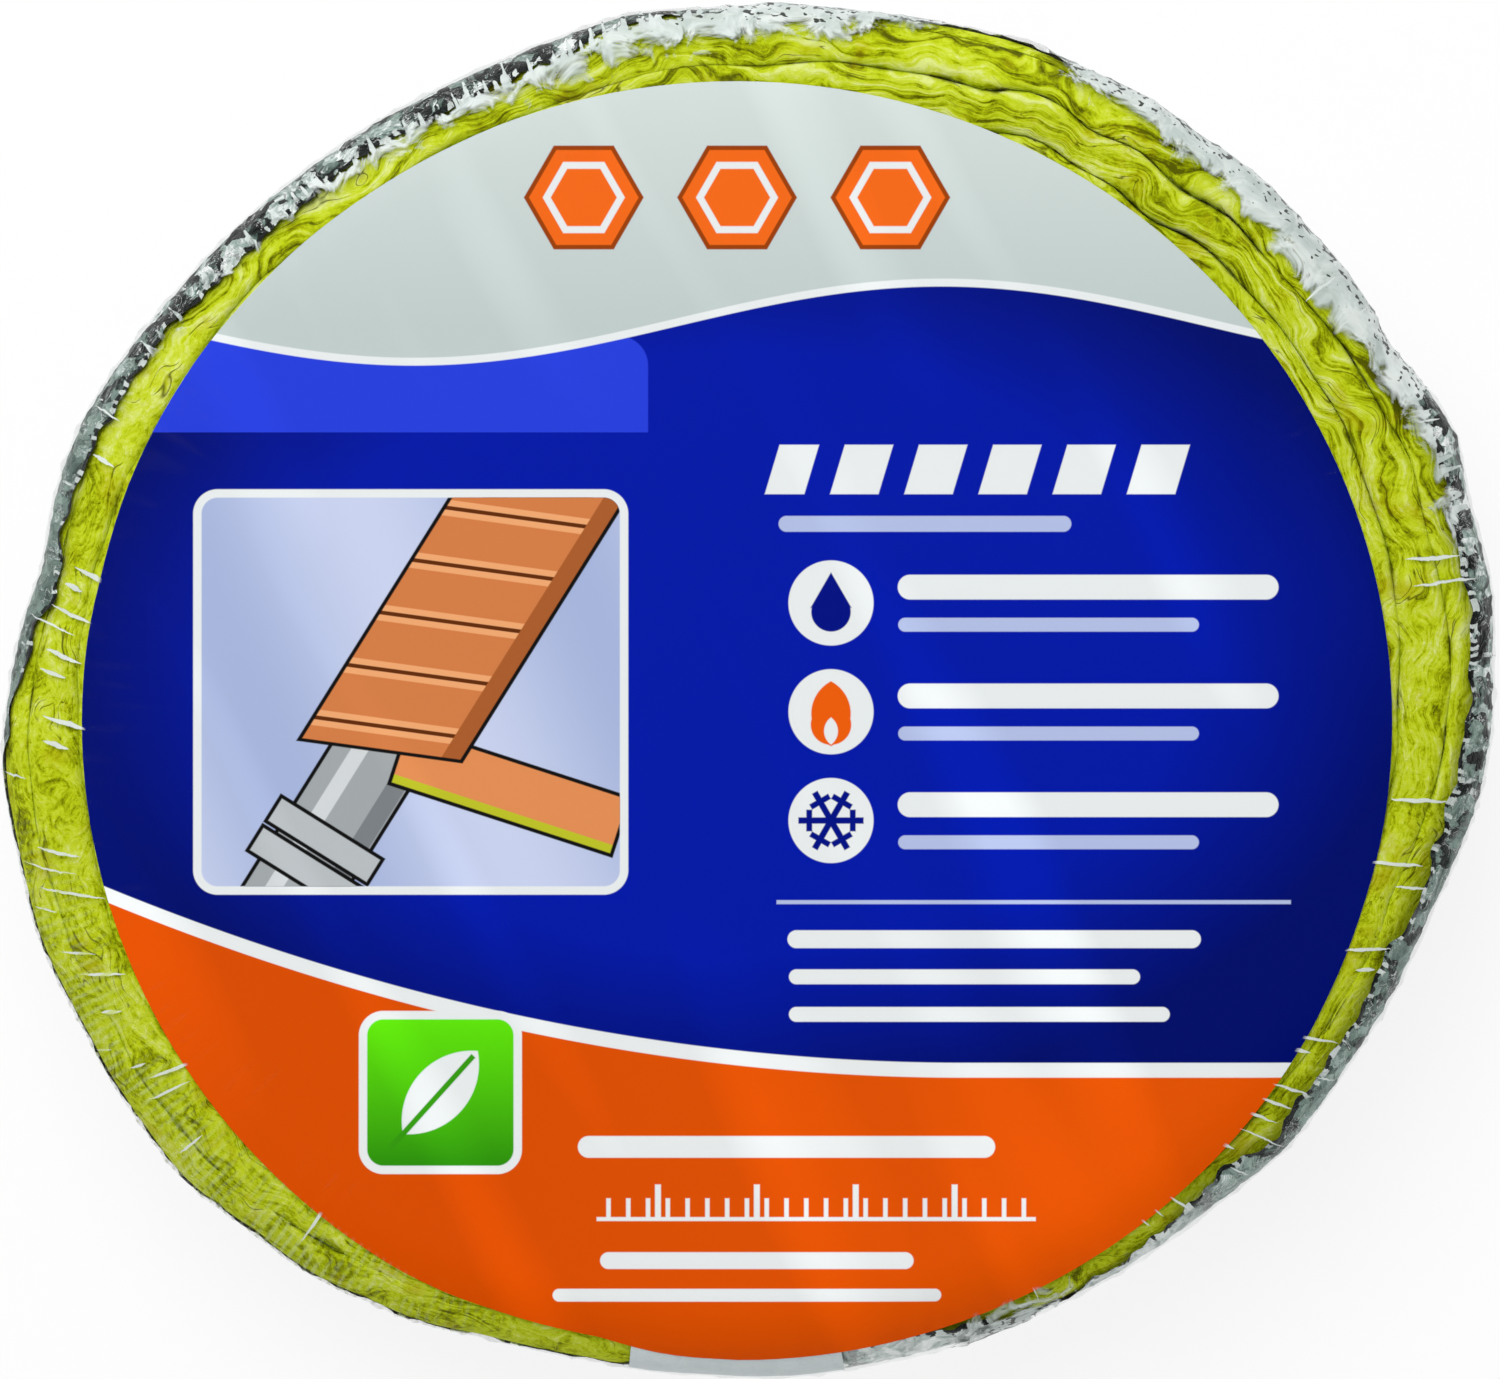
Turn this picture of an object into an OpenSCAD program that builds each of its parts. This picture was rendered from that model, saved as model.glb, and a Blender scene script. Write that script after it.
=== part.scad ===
// Roll of foil-faced fiberglass pipe wrap, lying on its back end in its shrink film.
// The roll is pressed a little oval. Its outline is four arcs set out on 3-4-5 triangles,
// so they run smoothly into each other, and each layer on it is parallel to that outline.
// +X is the long axis and +Z is up.

/* [Strip] */
// Width of the strip, which is the height of the roll
strip_w = 76.2; // [60:0.2:100]
// Thickness of one turn of the strip, as it is pressed in the roll
turn_t = 8.6; // [7:0.1:12]
// Thickness of the foil facing on the strip
foil_t = 0.2; // [0.1:0.05:0.4]

/* [Roll] */
// Mean width of the wrapped roll
roll_d = 291; // [200:1:360]
// How much longer than wide the roll is pressed
pressed = 26; // [10:1:36]
// Width of the flattened bore
bore_w = 27; // [22:1:40]
// Radius of the shoulders, where the film draws the outer turns in
shoulder_r = 14; // [8:0.5:20]
// How far the foil of the outer turn folds over each end of the roll
foil_lap = 7; // [4:0.5:9]

/* [Joints between turns] */
// Depth of the joint between two turns, at the ends of the roll
joint_d = 3.2; // [2:0.2:5]
// Share of a turn's thickness that rounds away into its two joints
joint_round = 0.8; // [0.5:0.05:0.9]
// Height of the foil's edge that shows in a joint
foil_edge_h = 1.2; // [0.6:0.2:1.8]

/* [Label and tape] */
// Mean width of the label
label_d = 262; // [160:1:266]
// How much wider than high the label is
label_pressed = 6; // [2:1:10]
// Thickness of the label's card
label_t = 0.3; // [0.2:0.05:0.6]
// Angle from the roll's long axis to the label's own level line
label_turn = 16.6; // [0:0.2:90]
// Place of the label's middle from the roll's middle, along the label's own level line
label_dx = -2.2; // [-8:0.2:8]
// Place of the label's middle from the roll's middle, up the label
label_dy = -5.6; // [-8:0.2:8]
// Width of the tape that closes the strip's end
tape_w = 44; // [30:1:60]
// Thickness of the tape
tape_t = 0.15; // [0.1:0.05:0.3]
// How far the tape runs in over each end of the roll
tape_lap = 24; // [16:1:40]
// Direction of the tape from the roll's middle, from the long axis
tape_a = 252.4; // [0:0.2:360]

/* [Film] */
// Thickness of the shrink film
film_t = 0.2; // [0.1:0.05:0.4]
// Clearance between the label and the film
film_gap = 0.15; // [0.1:0.05:0.3]

/* [Hidden] */
$fn = 240;
corner_fn = 64;
over = 1;
// Least width left between the last joint and the bore
bore_lip = 0.5;

// How far each layer's outer side stands off the bare roll
tape_out = foil_t + tape_t;
label_out = tape_out + label_t;
film_in = label_out + film_gap;
film_out = film_in + film_t;
base_z = film_out;
top_z = base_z + strip_w;

// An oval is an end arc at +X, a side arc, and the same again. The middles of an end arc
// and a side arc and the middle of the oval make a 3-4-5 triangle, so the arcs meet in
// the directions of meet. The triangle's unit is a quarter of how far the oval is pressed.
meet = [[0.6, -0.8], [0.6, 0.8], [-0.6, 0.8], [-0.6, -0.8], [0.6, -0.8]];
function middles(pressed) = pressed / 4 * [[3, 0], [0, -4], [-3, 0], [0, 4]];
function radii(mean_r, pressed) = [for (arc = [0 : 3])
    mean_r + pressed / 4 * (arc % 2 == 0 ? -2 : 3)];

// The bare roll's outline
bare_r = roll_d / 2 - film_out;
arc_c = middles(pressed);
arc_r = radii(bare_r, pressed);
reach = roll_d + pressed;

// The wall between the outline and the bore, and the turns whose joints show on its ends
wall_t = bare_r - pressed / 4 - bore_w / 2;
joint_w = turn_t * joint_round;
last_turn = floor((wall_t - bore_lip - joint_w / 2) / turn_t) - 1;

// Middle of each arc of the winding: where two arcs meet, the radius drops by a quarter
// of a turn's thickness and the middle moves out by as much, so the winding stays smooth
function wind_c(arc) = arc == 0 ? arc_c[0]
    : wind_c(arc - 1) + arc_c[arc] - arc_c[arc - 1] + turn_t / 4 * meet[arc];

// Corners of the sector that an arc of the winding spans
function sector(arc) =
    [wind_c(arc), wind_c(arc) + reach * meet[arc], wind_c(arc) + reach * meet[arc + 1]];

// Corners of an arc's share of an oval: the two side arcs' shares meet on the long axis
function share(arc, c) = arc % 2 == 0
    ? [c[arc], c[arc] + reach * meet[arc], c[arc] + reach * meet[arc + 1]]
    : [c[arc - 1], c[arc - 1] + reach * meet[arc],
        c[3 - arc] + reach * meet[arc + 1], c[3 - arc]];

// Turns a section round an arc's middle, and keeps what lies over a flat shape
module turned(middle, over_shape) {
    intersection() {
        translate(middle)
            rotate_extrude()
                children();
        translate([0, 0, -over])
            linear_extrude(top_z + film_out + 2 * over)
                polygon(over_shape);
    }
}

// Takes a section round the outline. The section is drawn with $r as its arc's radius.
module round_outline() {
    for (arc = [0 : 3])
        turned(arc_c[arc], share(arc, arc_c))
            let ($r = arc_r[arc]) children();
}

// Takes a section drawn at a joint round all of the winding that shows on the top end,
// from under the outer turn's fold of foil to the bore
module along_winding() {
    for (arc = [0 : 3])
        turned(wind_c(arc), sector(arc))
            for (turn = [arc == 3 ? 0 : 1 : last_turn])
                translate([arc_r[arc] - (turn + arc / 4) * turn_t, top_z])
                    children();
}

// Puts the same thing on both ends of the roll
module on_both_ends() {
    children();
    translate([0, 0, base_z + top_z])
        mirror([0, 0, 1])
            children();
}

// A flat oval plate
module oval_plate(mean_r, pressed, thick) {
    c = middles(pressed);
    r = radii(mean_r, pressed);
    linear_extrude(thick)
        for (arc = [0 : 3])
            intersection() {
                translate(c[arc])
                    circle(r[arc]);
                polygon(share(arc, c));
            }
}

// Section of the roll's wall with its round shoulders, standing proud of the bare roll
// by proud and reaching in from the outline by depth, or as far as the arc's middle
module wall_section(proud, depth) {
    corner_r = shoulder_r + proud;
    low = base_z - proud;
    high = top_z + proud;
    inside = max($r - depth, 0);
    intersection() {
        union() {
            translate([0, low])
                square([$r + proud - corner_r, high - low]);
            translate([0, low + corner_r])
                square([$r + proud, high - low - 2 * corner_r]);
            for (z = [low + corner_r, high - corner_r])
                translate([$r + proud - corner_r, z])
                    circle(r = corner_r, $fn = corner_fn);
        }
        translate([inside, low - over])
            square([$r + proud + over - inside, high - low + 2 * over]);
    }
}

// A layer on the roll's side and shoulders, which reaches in over both ends by lap
module layer(inner, outer, lap) {
    round_outline()
        difference() {
            wall_section(outer, lap);
            wall_section(inner, lap + over);
        }
}

// Section of the joint between two turns, whose ends round away into it
module joint_section() {
    polygon([
        [-joint_w / 2, over], [-joint_w / 2, 0], [-joint_w / 3, -joint_d / 8],
        [-joint_w / 6, -joint_d / 2.4], [-foil_t / 2, -joint_d], [foil_t / 2, -joint_d],
        [joint_w / 6, -joint_d / 2.4], [joint_w / 3, -joint_d / 8], [joint_w / 2, 0],
        [joint_w / 2, over]
    ]);
}

// The wound strip: a wall round the flattened bore, with its turns on both ends
module fiberglass_blanket() {
    color("khaki")
        difference() {
            round_outline()
                wall_section(0, wall_t);
            on_both_ends()
                along_winding()
                    joint_section();
        }
}

// The foil: all of it on the outer turn, and its edges in the joints between turns
module foil_facing() {
    color("silver") {
        layer(0, foil_t, foil_lap);
        on_both_ends()
            along_winding()
                translate([-foil_t / 2, -joint_d])
                    square([foil_t, foil_edge_h]);
    }
}

// The tape over the end of the strip, round the side and both shoulders
module closure_tape() {
    color("white")
        intersection() {
            layer(foil_t, tape_out, tape_lap);
            rotate(tape_a)
                translate([0, -tape_w / 2, 0])
                    cube([reach, tape_w, top_z + film_out]);
        }
}

// The label, which lies on the front end and bends down where it reaches a shoulder
module label_disc() {
    color("mediumblue")
        intersection() {
            layer(tape_out, label_out, reach);
            rotate(-label_turn)
                translate([label_dx, label_dy, base_z + strip_w / 2])
                    oval_plate(label_d / 2, label_pressed, strip_w);
        }
}

// The film, shrunk round everything and sealed
module shrink_film() {
    color("lightcyan", 0.4)
        layer(film_in, film_out, reach);
}

fiberglass_blanket();
foil_facing();
closure_tape();
label_disc();
shrink_film();
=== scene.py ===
"""Looks of a shrink-wrapped roll of foil-faced fiberglass pipe wrap.

Lengths in this script are millimetres until a mesh is finished, which is in metres. The label has
its own level line, turned from the roll's long axis, and the camera stands square to it.
"""

import math

import bmesh
import bpy
import numpy as np
from mathutils import Matrix, Vector


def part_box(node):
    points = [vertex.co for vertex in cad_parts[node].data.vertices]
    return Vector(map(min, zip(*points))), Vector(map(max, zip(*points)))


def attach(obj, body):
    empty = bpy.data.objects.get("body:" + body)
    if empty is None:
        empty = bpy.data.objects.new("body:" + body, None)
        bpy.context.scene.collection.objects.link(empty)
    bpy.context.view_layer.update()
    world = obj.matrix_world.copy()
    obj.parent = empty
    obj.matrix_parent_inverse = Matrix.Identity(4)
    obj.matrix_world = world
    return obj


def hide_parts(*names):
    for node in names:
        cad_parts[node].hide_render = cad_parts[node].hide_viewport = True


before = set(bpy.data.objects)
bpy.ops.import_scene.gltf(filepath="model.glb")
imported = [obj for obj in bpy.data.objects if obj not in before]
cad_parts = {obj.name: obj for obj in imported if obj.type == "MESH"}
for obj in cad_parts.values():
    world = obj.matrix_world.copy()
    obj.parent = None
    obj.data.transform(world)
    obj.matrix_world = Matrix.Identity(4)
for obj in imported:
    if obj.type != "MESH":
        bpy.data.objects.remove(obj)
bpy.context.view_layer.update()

MM = 0.001
TAU = 2 * math.pi

# ---------------------------------------------------------------- sizes of the roll

# Half the bare roll's length and width, and the heights of its two ends
low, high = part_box("fiberglass_blanket")
HALF_L, HALF_W = high.x / MM, high.y / MM
BASE_Z, TOP_Z = low.z / MM, high.z / MM
MID_Z = (BASE_Z + TOP_Z) / 2

# The outline is two end arcs and two side arcs, set out on 3-4-5 triangles of this unit. The
# arcs meet where the outline's heading has this cosine.
UNIT = (HALF_L - HALF_W) / 2
END_R = HALF_L - 3 * UNIT
SIDE_R = END_R + 5 * UNIT
MEET = 0.6
GIRTH = TAU * (HALF_L + HALF_W) / 2

# Radius of the shoulders, thickness of a pressed turn, and the wall from the outline to the bore
SHOULDER = 14.0
TURN_T = 8.6
WALL_T = 124.5

# Heading at which the winding's outer end lies, and the turn of the label's level line
WIND_FROM = -math.atan2(0.8, 0.6)
LEVEL = math.radians(16.6)

# How far the film's outer side stands off the bare roll
FILM_OUT = (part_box("shrink_film")[1].z - high.z) / MM

# The label's middle, how far its top stands off the roll, its half sizes and its card
low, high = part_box("label_disc")
LABEL_X, LABEL_Y = (low.x + high.x) / 2 / MM, (low.y + high.y) / 2 / MM
LABEL_OUT = high.z / MM - TOP_Z
LABEL_W, LABEL_H = 132.5, 129.5
CARD_T = 0.3

# The tape's width, how far it runs in past each shoulder, and its direction from the middle
TAPE_W, TAPE_LAP = 44, 10
TAPE_WAY = math.radians(252.4)


def ripples(seed, count, shortest, longest, sharp=False):
    """A random field of waves of mixed lengths and directions, about -1 to 1 high.

    Sharp waves are arches that meet in creases, set down by their own mean height.
    """
    arch_mean, soft_height = 0.64, 0.7
    rng = np.random.default_rng(seed)
    length = np.exp(rng.uniform(np.log(shortest), np.log(longest), count))
    facing = rng.normal(size=(count, 3))
    facing /= np.linalg.norm(facing, axis=1)[:, None]
    start = rng.uniform(0, TAU, count)

    def height(x, y, z=0.0):
        total = 0
        for step, way, phase in zip(length, facing, start):
            wave = np.sin((x * way[0] + y * way[1] + z * way[2]) * TAU / step + phase)
            total = total + (arch_mean - np.abs(wave) if sharp else wave * soft_height)
        return total / math.sqrt(count)

    return height


def smooth(low_end, high_end, value):
    """0 below the low end, 1 above the high end and an even S between them."""
    t = np.clip((value - low_end) / (high_end - low_end), 0, 1)
    return t * t * (3 - 2 * t)


def near(degrees, centre, width):
    """1 at a direction seen square to the label, fading away to both sides."""
    off = (degrees - centre + 180) % 360 - 180
    return np.exp(-((off / width) ** 2))


def clock(x, y):
    """Direction of a point from the roll's middle, in degrees from the label's level line."""
    return np.degrees(np.arctan2(y, x) + LEVEL)


def oval(heading, inset):
    """Point of the roll's outline that faces a heading, set in by some millimetres."""
    c, s = np.cos(heading), np.sin(heading)
    at_end = np.abs(c) >= MEET
    reach = np.where(at_end, END_R, SIDE_R) - inset
    x = np.where(at_end, 3 * UNIT * np.sign(c), 0.0) + reach * c
    y = np.where(at_end, 0.0, -4 * UNIT * np.sign(s)) + reach * s
    return x, y


def place_on_oval(x, y):
    """The heading and the inset of a point, the other way round from oval()."""
    past = np.abs(x) - 3 * UNIT
    at_end = np.abs(y) <= past * 4 / 3
    dx = np.where(at_end, past * np.sign(x), x)
    dy = np.where(at_end, y, y + 4 * UNIT * np.sign(y))
    return np.arctan2(dy, dx), np.where(at_end, END_R, SIDE_R) - np.hypot(dx, dy)


def shoulder_drop(inset):
    """How far the round shoulder lies below the flat end, at an inset from the outline."""
    left = np.clip(SHOULDER - inset, 0, SHOULDER)
    return SHOULDER - np.sqrt(np.clip(SHOULDER**2 - left**2, 0, None))


def label_gap(x, y):
    """How far a point lies outside the label's edge, seen from above."""
    along = (x - LABEL_X) * math.cos(LEVEL) - (y - LABEL_Y) * math.sin(LEVEL)
    across = (x - LABEL_X) * math.sin(LEVEL) + (y - LABEL_Y) * math.cos(LEVEL)
    return (np.hypot(along / LABEL_W, across / LABEL_H) - 1) * LABEL_H


def by_direction(degrees, table):
    """Reads a table of pairs, each a direction and a measure there, evenly between its rows."""
    directions, measures = zip(*table)
    return np.interp(degrees % 360, directions, measures)


swell = ripples(3, 10, 22, 70)

# How far the roll swells past its plain oval, or draws in, by direction
SWELL = [
    (0, 2.7), (12, 1.8), (20, 2.6), (28, -1.2), (40, -1.0), (52, -0.3), (66, 0.8), (84, 0.8),
    (100, 1.8), (118, -0.2), (138, -0.8), (158, 0.6), (170, -1.9), (184, 1.8), (199, 1.5),
    (208, 1.0), (220, 2.1), (234, 1.2), (247, -1.4), (257, -2.1), (270, 0.2), (280, 1.4),
    (290, 1.5), (304, 1.0), (320, 1.7), (332, -0.5), (342, -1.2), (352, 1.6), (360, 2.7),
]


def settle(x, y, z, heading, inset):
    """Lets the roll's side swell and draw in a little, as the film holds it.

    It fades within 20 mm of the outline, and what swells stays clear of the label.
    """
    out = by_direction(clock(x, y), SWELL) + 0.55 * swell(x, y, z * 0.5)
    off_label = smooth(-1, 7, label_gap(x, y))
    free = 1 - (1 - off_label) * smooth(MID_Z, TOP_Z - 8, z)
    out = np.where(out > 0, out * free, out) * (1 - smooth(2, 20, inset))
    return x + out * np.cos(heading), y + out * np.sin(heading), z


# ---------------------------------------------------------------- making meshes

# Points of a net closer than this are one
WELD = 0.002


def net(name, columns, rows, lay, joined=True, finish=None):
    """A net of faces, which lay(u, v) places in millimetres and charts for its UV map.

    u and v run from 0 to 1. finish(u, v) gives the number of each face's material.
    """
    bm = bmesh.new()
    bmesh.ops.create_grid(bm, x_segments=columns, y_segments=rows, size=0.5)
    mesh = bpy.data.meshes.new(name)
    bm.to_mesh(mesh)
    bm.free()
    if finish:
        middle = np.empty(len(mesh.polygons) * 3)
        mesh.polygons.foreach_get("center", middle)
        middle = middle.reshape(-1, 3) + 0.5
        numbers = finish(middle[:, 0], middle[:, 1]).astype(np.int32)
        mesh.polygons.foreach_set("material_index", numbers)
    co = np.empty(len(mesh.vertices) * 3)
    mesh.vertices.foreach_get("co", co)
    u, v = co.reshape(-1, 3)[:, 0] + 0.5, co.reshape(-1, 3)[:, 1] + 0.5
    place, chart = lay(u, v)
    mesh.vertices.foreach_set("co", (np.stack(place, axis=1) * MM).ravel())
    corner = np.empty(len(mesh.loops), np.int32)
    mesh.loops.foreach_get("vertex_index", corner)
    chart = np.stack(chart, axis=1) * MM
    mesh.uv_layers.new(name="Lay").data.foreach_set("uv", chart[corner].ravel())
    bm = bmesh.new()
    bm.from_mesh(mesh)
    if joined:
        bmesh.ops.remove_doubles(bm, verts=bm.verts, dist=WELD * MM)
    return bm, mesh


def finish_piece(bm, mesh, name, materials, stands_for=None):
    """Smooths a mesh, makes it an object that rides on the roll and gives it its finish."""
    for face in bm.faces:
        face.smooth = True
    bm.to_mesh(mesh)
    bm.free()
    for material in materials:
        mesh.materials.append(material)
    piece = bpy.data.objects.new(name, mesh)
    bpy.context.scene.collection.objects.link(piece)
    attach(piece, "root")
    if stands_for:
        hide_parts(stands_for)
    return piece


# ---------------------------------------------------------------- shader sums

# Metres to millimetres, along all three ways
TO_MM = (1000, 1000, 1000)


class Value:
    """A number, colour or vector in a material. Sums on it add the nodes that work them out."""

    def __init__(self, recipe, socket):
        self.recipe, self.socket = recipe, socket

    def sum(self, operation, *others):
        return self.recipe.sum(operation, self, *others)

    def __add__(self, other):
        return self.sum("ADD", other)

    def __radd__(self, other):
        return self.sum("ADD", other)

    def __sub__(self, other):
        return self.sum("SUBTRACT", other)

    def __rsub__(self, other):
        return self.recipe.sum("SUBTRACT", other, self)

    def __mul__(self, other):
        return self.sum("MULTIPLY", other)

    def __rmul__(self, other):
        return self.sum("MULTIPLY", other)

    def __truediv__(self, other):
        return self.sum("DIVIDE", other)

    def __rtruediv__(self, other):
        return self.recipe.sum("DIVIDE", other, self)

    def __neg__(self):
        return self.sum("MULTIPLY", -1.0)

    def __abs__(self):
        return self.sum("ABSOLUTE")

    def __pow__(self, other):
        return self.sum("POWER", other)


class Recipe:
    """The nodes of one material, or of the world."""

    def __init__(self, name, kind="Material"):
        self.kind = kind
        self.owner = (bpy.data.worlds if kind == "World" else bpy.data.materials).new(name)
        self.owner.use_nodes = True
        self.tree = self.owner.node_tree
        self.tree.nodes.clear()

    def node(self, kind, settings=None, inputs=None, out=0):
        """Adds a node with its settings and inputs, and answers with one of its outputs."""
        made = self.tree.nodes.new("ShaderNode" + kind)
        for key, value in (settings or {}).items():
            if key == "stops":
                self.set_stops(made.color_ramp, value)
            else:
                setattr(made, key, value)
        for key, value in (inputs or {}).items():
            if isinstance(value, Value):
                self.tree.links.new(value.socket, made.inputs[key])
            else:
                made.inputs[key].default_value = value
        return Value(self, made.outputs[out])

    @staticmethod
    def set_stops(ramp, stops):
        while len(ramp.elements) < len(stops):
            ramp.elements.new(0.5)
        for element, (position, colour) in zip(ramp.elements, stops):
            element.position, element.color = position, colour

    def sum(self, operation, *values):
        return self.node("Math", {"operation": operation}, dict(enumerate(values)))

    def vector_sum(self, operation, *values):
        return self.node("VectorMath", {"operation": operation}, dict(enumerate(values)))

    def mix(self, first, second, share):
        return self.node("Mix", {"data_type": "RGBA"}, {0: share, 6: first, 7: second}, 2)

    def object_place(self, turn=0.0, centre=(0, 0, 0)):
        """Object coordinates in millimetres, turned and measured from a centre."""
        place = self.node("TexCoord", out="Object")
        shift = Matrix.Rotation(turn, 3, "Z") @ Vector(centre)
        inputs = {"Vector": place, "Location": -shift, "Rotation": (0, 0, turn), "Scale": TO_MM}
        return self.node("Mapping", {"vector_type": "POINT"}, inputs)

    def parts(self, vector):
        split = self.node("SeparateXYZ", inputs={"Vector": vector})
        outs = split.socket.node.outputs
        return [Value(self, outs[k]) for k in range(3)]

    def chart(self):
        """The piece's own map, in millimetres."""
        flat = self.node("UVMap", {"uv_map": "Lay"})
        return self.parts(self.vector_sum("MULTIPLY", flat, TO_MM))[:2]

    def join(self, x=0.0, y=0.0, z=0.0):
        return self.node("CombineXYZ", inputs={0: x, 1: y, 2: z})

    def noise(self, place, scale, detail=2.0, rough=0.5, twist=0.0, colour=False):
        inputs = {"Vector": place, "Scale": scale, "Detail": detail, "Roughness": rough}
        inputs["Distortion"] = twist
        return self.node("TexNoise", {"noise_dimensions": "3D"}, inputs, 1 if colour else 0)

    def cells(self, place, scale):
        """Three random numbers for each of the irregular cells that fill space."""
        inputs = {"Vector": place, "Scale": scale}
        return self.parts(self.node("TexVoronoi", {"feature": "F1"}, inputs, 1))

    def dice(self, count):
        """Three random numbers for each whole step of a count."""
        inputs = {"W": self.sum("FLOOR", count)}
        return self.parts(self.node("TexWhiteNoise", {"noise_dimensions": "1D"}, inputs, 1))

    def ramp(self, value, *stops):
        return self.node("ValToRGB", {"stops": stops}, {0: value})

    def between(self, value, low_end, high_end, top=1.0):
        """0 at the low end, rising evenly to top at the high end, and held past both."""
        inputs = {0: value, 1: low_end, 2: high_end, 3: 0.0, 4: top}
        return self.node("MapRange", {"clamp": True}, inputs)

    def most(self, first, second):
        return self.sum("MAXIMUM", first, second)

    def bump(self, height, depth, strength):
        inputs = {"Strength": strength, "Distance": depth * MM, "Height": height}
        return self.node("Bump", {}, inputs)

    def surface(self, shader):
        end = self.tree.nodes.new("ShaderNodeOutput" + self.kind)
        self.tree.links.new(shader.socket, end.inputs["Surface"])
        return self.owner


def paint(red, green, blue):
    """A colour as a paint chart gives it, 0 to 255, made linear."""
    shares = [level / 255 for level in (red, green, blue)]
    linear = [((c + 0.055) / 1.055) ** 2.4 if c > 0.04 else c / 12.92 for c in shares]
    return (*linear, 1.0)


# ---------------------------------------------------------------- finishes

# On the wool's own map the back end starts this far across, and the side lies at this line
BACK_MAP, SIDE_MAP = 16.0, 12.0


def wool_finish():
    """Yellow glass wool: soft fibres in wavy beds along the strip, with painted shade where the
    beds part.
    """
    r = Recipe("fiberglass wool")
    place = r.object_place()
    x, y, _ = r.parts(place)
    along, across = r.chart()
    drift_x, drift_y, drift_z = r.parts(r.noise(place, 0.05, 2.0, 0.5, colour=True))
    bed_along = along + (drift_x - 0.5) * 30
    bed_across = across + (drift_y - 0.5) * 22
    beds = r.noise(r.join(bed_along * 0.035, bed_across * 0.55, drift_z), 1.0, 3.0, 0.6, 0.3)
    fluff = r.noise(place, 0.42, 4.0, 0.78, 1.2)
    grain = r.noise(r.join(bed_along * 0.35, bed_across * 1.3, 4.0), 1.0, 3.0, 0.75)
    clouds, worn, _ = r.parts(r.noise(place, 0.09, 3.0, 0.6, colour=True))

    # On one side of the roll the fibres lie combed along the strip
    combed = r.between(x * 0.5 + y * 0.85, 10.0, 90.0)
    tone = (beds - 0.5) * (0.5 + combed * 0.7) + (fluff - 0.5) * (0.6 - combed * 0.3)
    tone = tone + (clouds - 0.5) * 0.5 + (grain - 0.5) * 0.5
    # The ramp runs from dark olive fibres through the wool's own mottling to pale stops that are
    # painted highlights
    colour = r.ramp(
        tone + 0.5,
        (0.28, paint(84, 88, 0)),
        (0.40, paint(150, 162, 2)),
        (0.49, paint(184, 200, 20)),
        (0.59, paint(196, 209, 58)),
        (0.72, paint(212, 222, 128)),
    )
    colour = r.mix(colour, paint(160, 138, 0), r.between(worn, 0.56, 0.72, 0.45))

    # Painted shade where the beds part, and where a turn rounds away into its joints
    crack = r.noise(r.join(bed_along * 0.024, bed_across * 0.2, 9.0), 1.0, 2.0, 0.6)
    part = r.between(abs(crack - 0.5), 0.009, 0.0) * r.between(worn, 0.5, 0.55)
    off_middle = abs(r.sum("WRAP", across, BACK_MAP, 0.0) - TURN_T / 2)
    side = r.between(off_middle, 4.1, 4.4) * r.between(worn, 0.44, 0.56)
    painted_shade = r.most(part * 0.85, side * (0.12 + combed * 0.5))
    colour = r.mix(colour, paint(60, 58, 0), painted_shade)
    normal = r.bump(tone + fluff * 0.4 - part * 0.3, 1.0, 0.5)
    inputs = {"Base Color": colour, "Roughness": 0.95, "Normal": normal, "Specular IOR Level": 0.08}
    return r.surface(r.node("BsdfPrincipled", {}, inputs))


# Distance from notch to notch along the foil's cut edge
NOTCH = 0.95


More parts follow.
